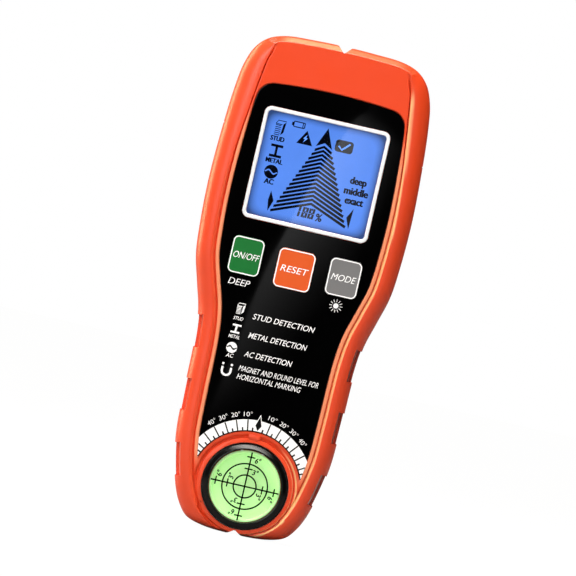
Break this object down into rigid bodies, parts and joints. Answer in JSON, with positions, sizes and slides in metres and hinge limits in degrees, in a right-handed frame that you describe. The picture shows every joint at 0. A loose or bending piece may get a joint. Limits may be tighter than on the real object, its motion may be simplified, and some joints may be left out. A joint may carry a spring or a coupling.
{
  "type": "stud finder",
  "caption": "Handheld wall scanner with waisted orange case, black front panel with display and three keys, turning round level at its tail, and rear battery door.",
  "frame": {"origin": "middle of the underside of the bounding box, with the tool standing upright on its tail", "axes": "+Z towards the head, front face with the display towards -Y, rear face that rests on the wall towards +Y, +X to the right seen from the front"},
  "size_m": [0.075, 0.0312, 0.18],
  "materials": {
    "orange_abs": "moulded ABS, fine satin texture",
    "black_gloss_panel": "polished black panel",
    "white_frame": "smooth white moulding",
    "clear_window": "clear polished window",
    "blue_display": "back-lit blue liquid crystal",
    "light_guide": "milky light guide",
    "black_plastic": "fine satin black moulding",
    "green_key": "satin green key cap",
    "orange_key": "satin orange key cap",
    "grey_key": "satin grey key cap",
    "vial_green": "pale green tinted acrylic",
    "vial_clear": "clear acrylic",
    "circuit_board": "solder-masked glass-fibre board",
    "steel": "zinc-plated steel",
    "copper": "bare copper",
    "dark_rubber": "matt dark rubber",
    "natural_nylon": "natural nylon",
    "red_insulation": "red PVC insulation",
    "black_insulation": "black PVC insulation",
    "battery_can": "plain printed steel can"
  },
  "bodies": {
    "case": {"battery_9v": "battery_can", "battery_lead_black": "black_insulation", "battery_lead_red": "red_insulation", "battery_snap": "dark_rubber", "board_screw_1": "steel", "board_screw_2": "steel", "buzzer": "black_plastic", "case_screw_1": "steel", "case_screw_2": "steel", "case_screw_3": "steel", "case_screw_4": "steel", "coil_bobbin": "natural_nylon", "controller_chip": "black_plastic", "crystal": "steel", "dial_wave_washer": "steel", "display_frame": "white_frame", "display_holder": "black_plastic", "display_window": "clear_window", "front_panel": "black_gloss_panel", "front_shell": "orange_abs", "glide_pad_lower_left": "dark_rubber", "glide_pad_lower_right": "dark_rubber", "glide_pad_upper_left": "dark_rubber", "glide_pad_upper_right": "dark_rubber", "lcd_glass": "blue_display", "lcd_light_guide": "light_guide", "main_board": "circuit_board", "marking_magnet": "steel", "mode_switch": "black_plastic", "power_capacitor": "steel", "power_switch": "black_plastic", "rear_shell": "orange_abs", "reset_switch": "black_plastic", "ribbon_cable": "natural_nylon", "search_coil": "copper", "sensor_board": "circuit_board", "sensor_plate_left": "copper", "sensor_plate_middle": "copper", "sensor_plate_right": "copper", "zebra_strip": "dark_rubber"},
    "power_key": {"power_key": "green_key"},
    "reset_key": {"reset_key": "orange_key"},
    "mode_key": {"mode_key": "grey_key"},
    "power_plunger": {"power_switch_plunger": "natural_nylon"},
    "reset_plunger": {"reset_switch_plunger": "natural_nylon"},
    "mode_plunger": {"mode_switch_plunger": "natural_nylon"},
    "dial": {"dial_bezel": "black_plastic", "dial_retainer": "black_plastic", "level_vial": "vial_green", "level_lens": "vial_clear"},
    "bubble": {"level_bubble": "vial_clear"},
    "battery_door": {"battery_door": "orange_abs"}
  },
  "joints": [
    {"name": "power_press", "type": "slide", "parent": "case", "child": "power_key", "axis": [0, 1, 0], "range_m": [0, 0.0006], "stiffness_N_per_m": 2500},
    {"name": "power_plunger_press", "type": "slide", "parent": "case", "child": "power_plunger", "axis": [0, 1, 0], "range_m": [0, 0.0006]},
    {"name": "reset_press", "type": "slide", "parent": "case", "child": "reset_key", "axis": [0, 1, 0], "range_m": [0, 0.0006], "stiffness_N_per_m": 2500},
    {"name": "reset_plunger_press", "type": "slide", "parent": "case", "child": "reset_plunger", "axis": [0, 1, 0], "range_m": [0, 0.0006]},
    {"name": "mode_press", "type": "slide", "parent": "case", "child": "mode_key", "axis": [0, 1, 0], "range_m": [0, 0.0006], "stiffness_N_per_m": 2500},
    {"name": "mode_plunger_press", "type": "slide", "parent": "case", "child": "mode_plunger", "axis": [0, 1, 0], "range_m": [0, 0.0006]},
    {"name": "dial_turn", "type": "hinge", "parent": "case", "child": "dial", "pos_m": [0, -0.0124, 0.0179], "axis": [0, -1, 0], "continuous": true},
    {"name": "bubble_drift", "type": "slide", "parent": "dial", "child": "bubble", "axis": [1, 0, 0], "range_m": [-0.006, 0.006]},
    {"name": "battery_door_open", "type": "hinge", "parent": "case", "child": "battery_door", "pos_m": [0, 0.01395, 0.0885], "axis": [1, 0, 0], "range_deg": [0, 90]}
  ],
  "couplings": [
    {"joint": "power_plunger_press", "follows": "power_press", "ratio": 1},
    {"joint": "reset_plunger_press", "follows": "reset_press", "ratio": 1},
    {"joint": "mode_plunger_press", "follows": "mode_press", "ratio": 1}
  ]
}
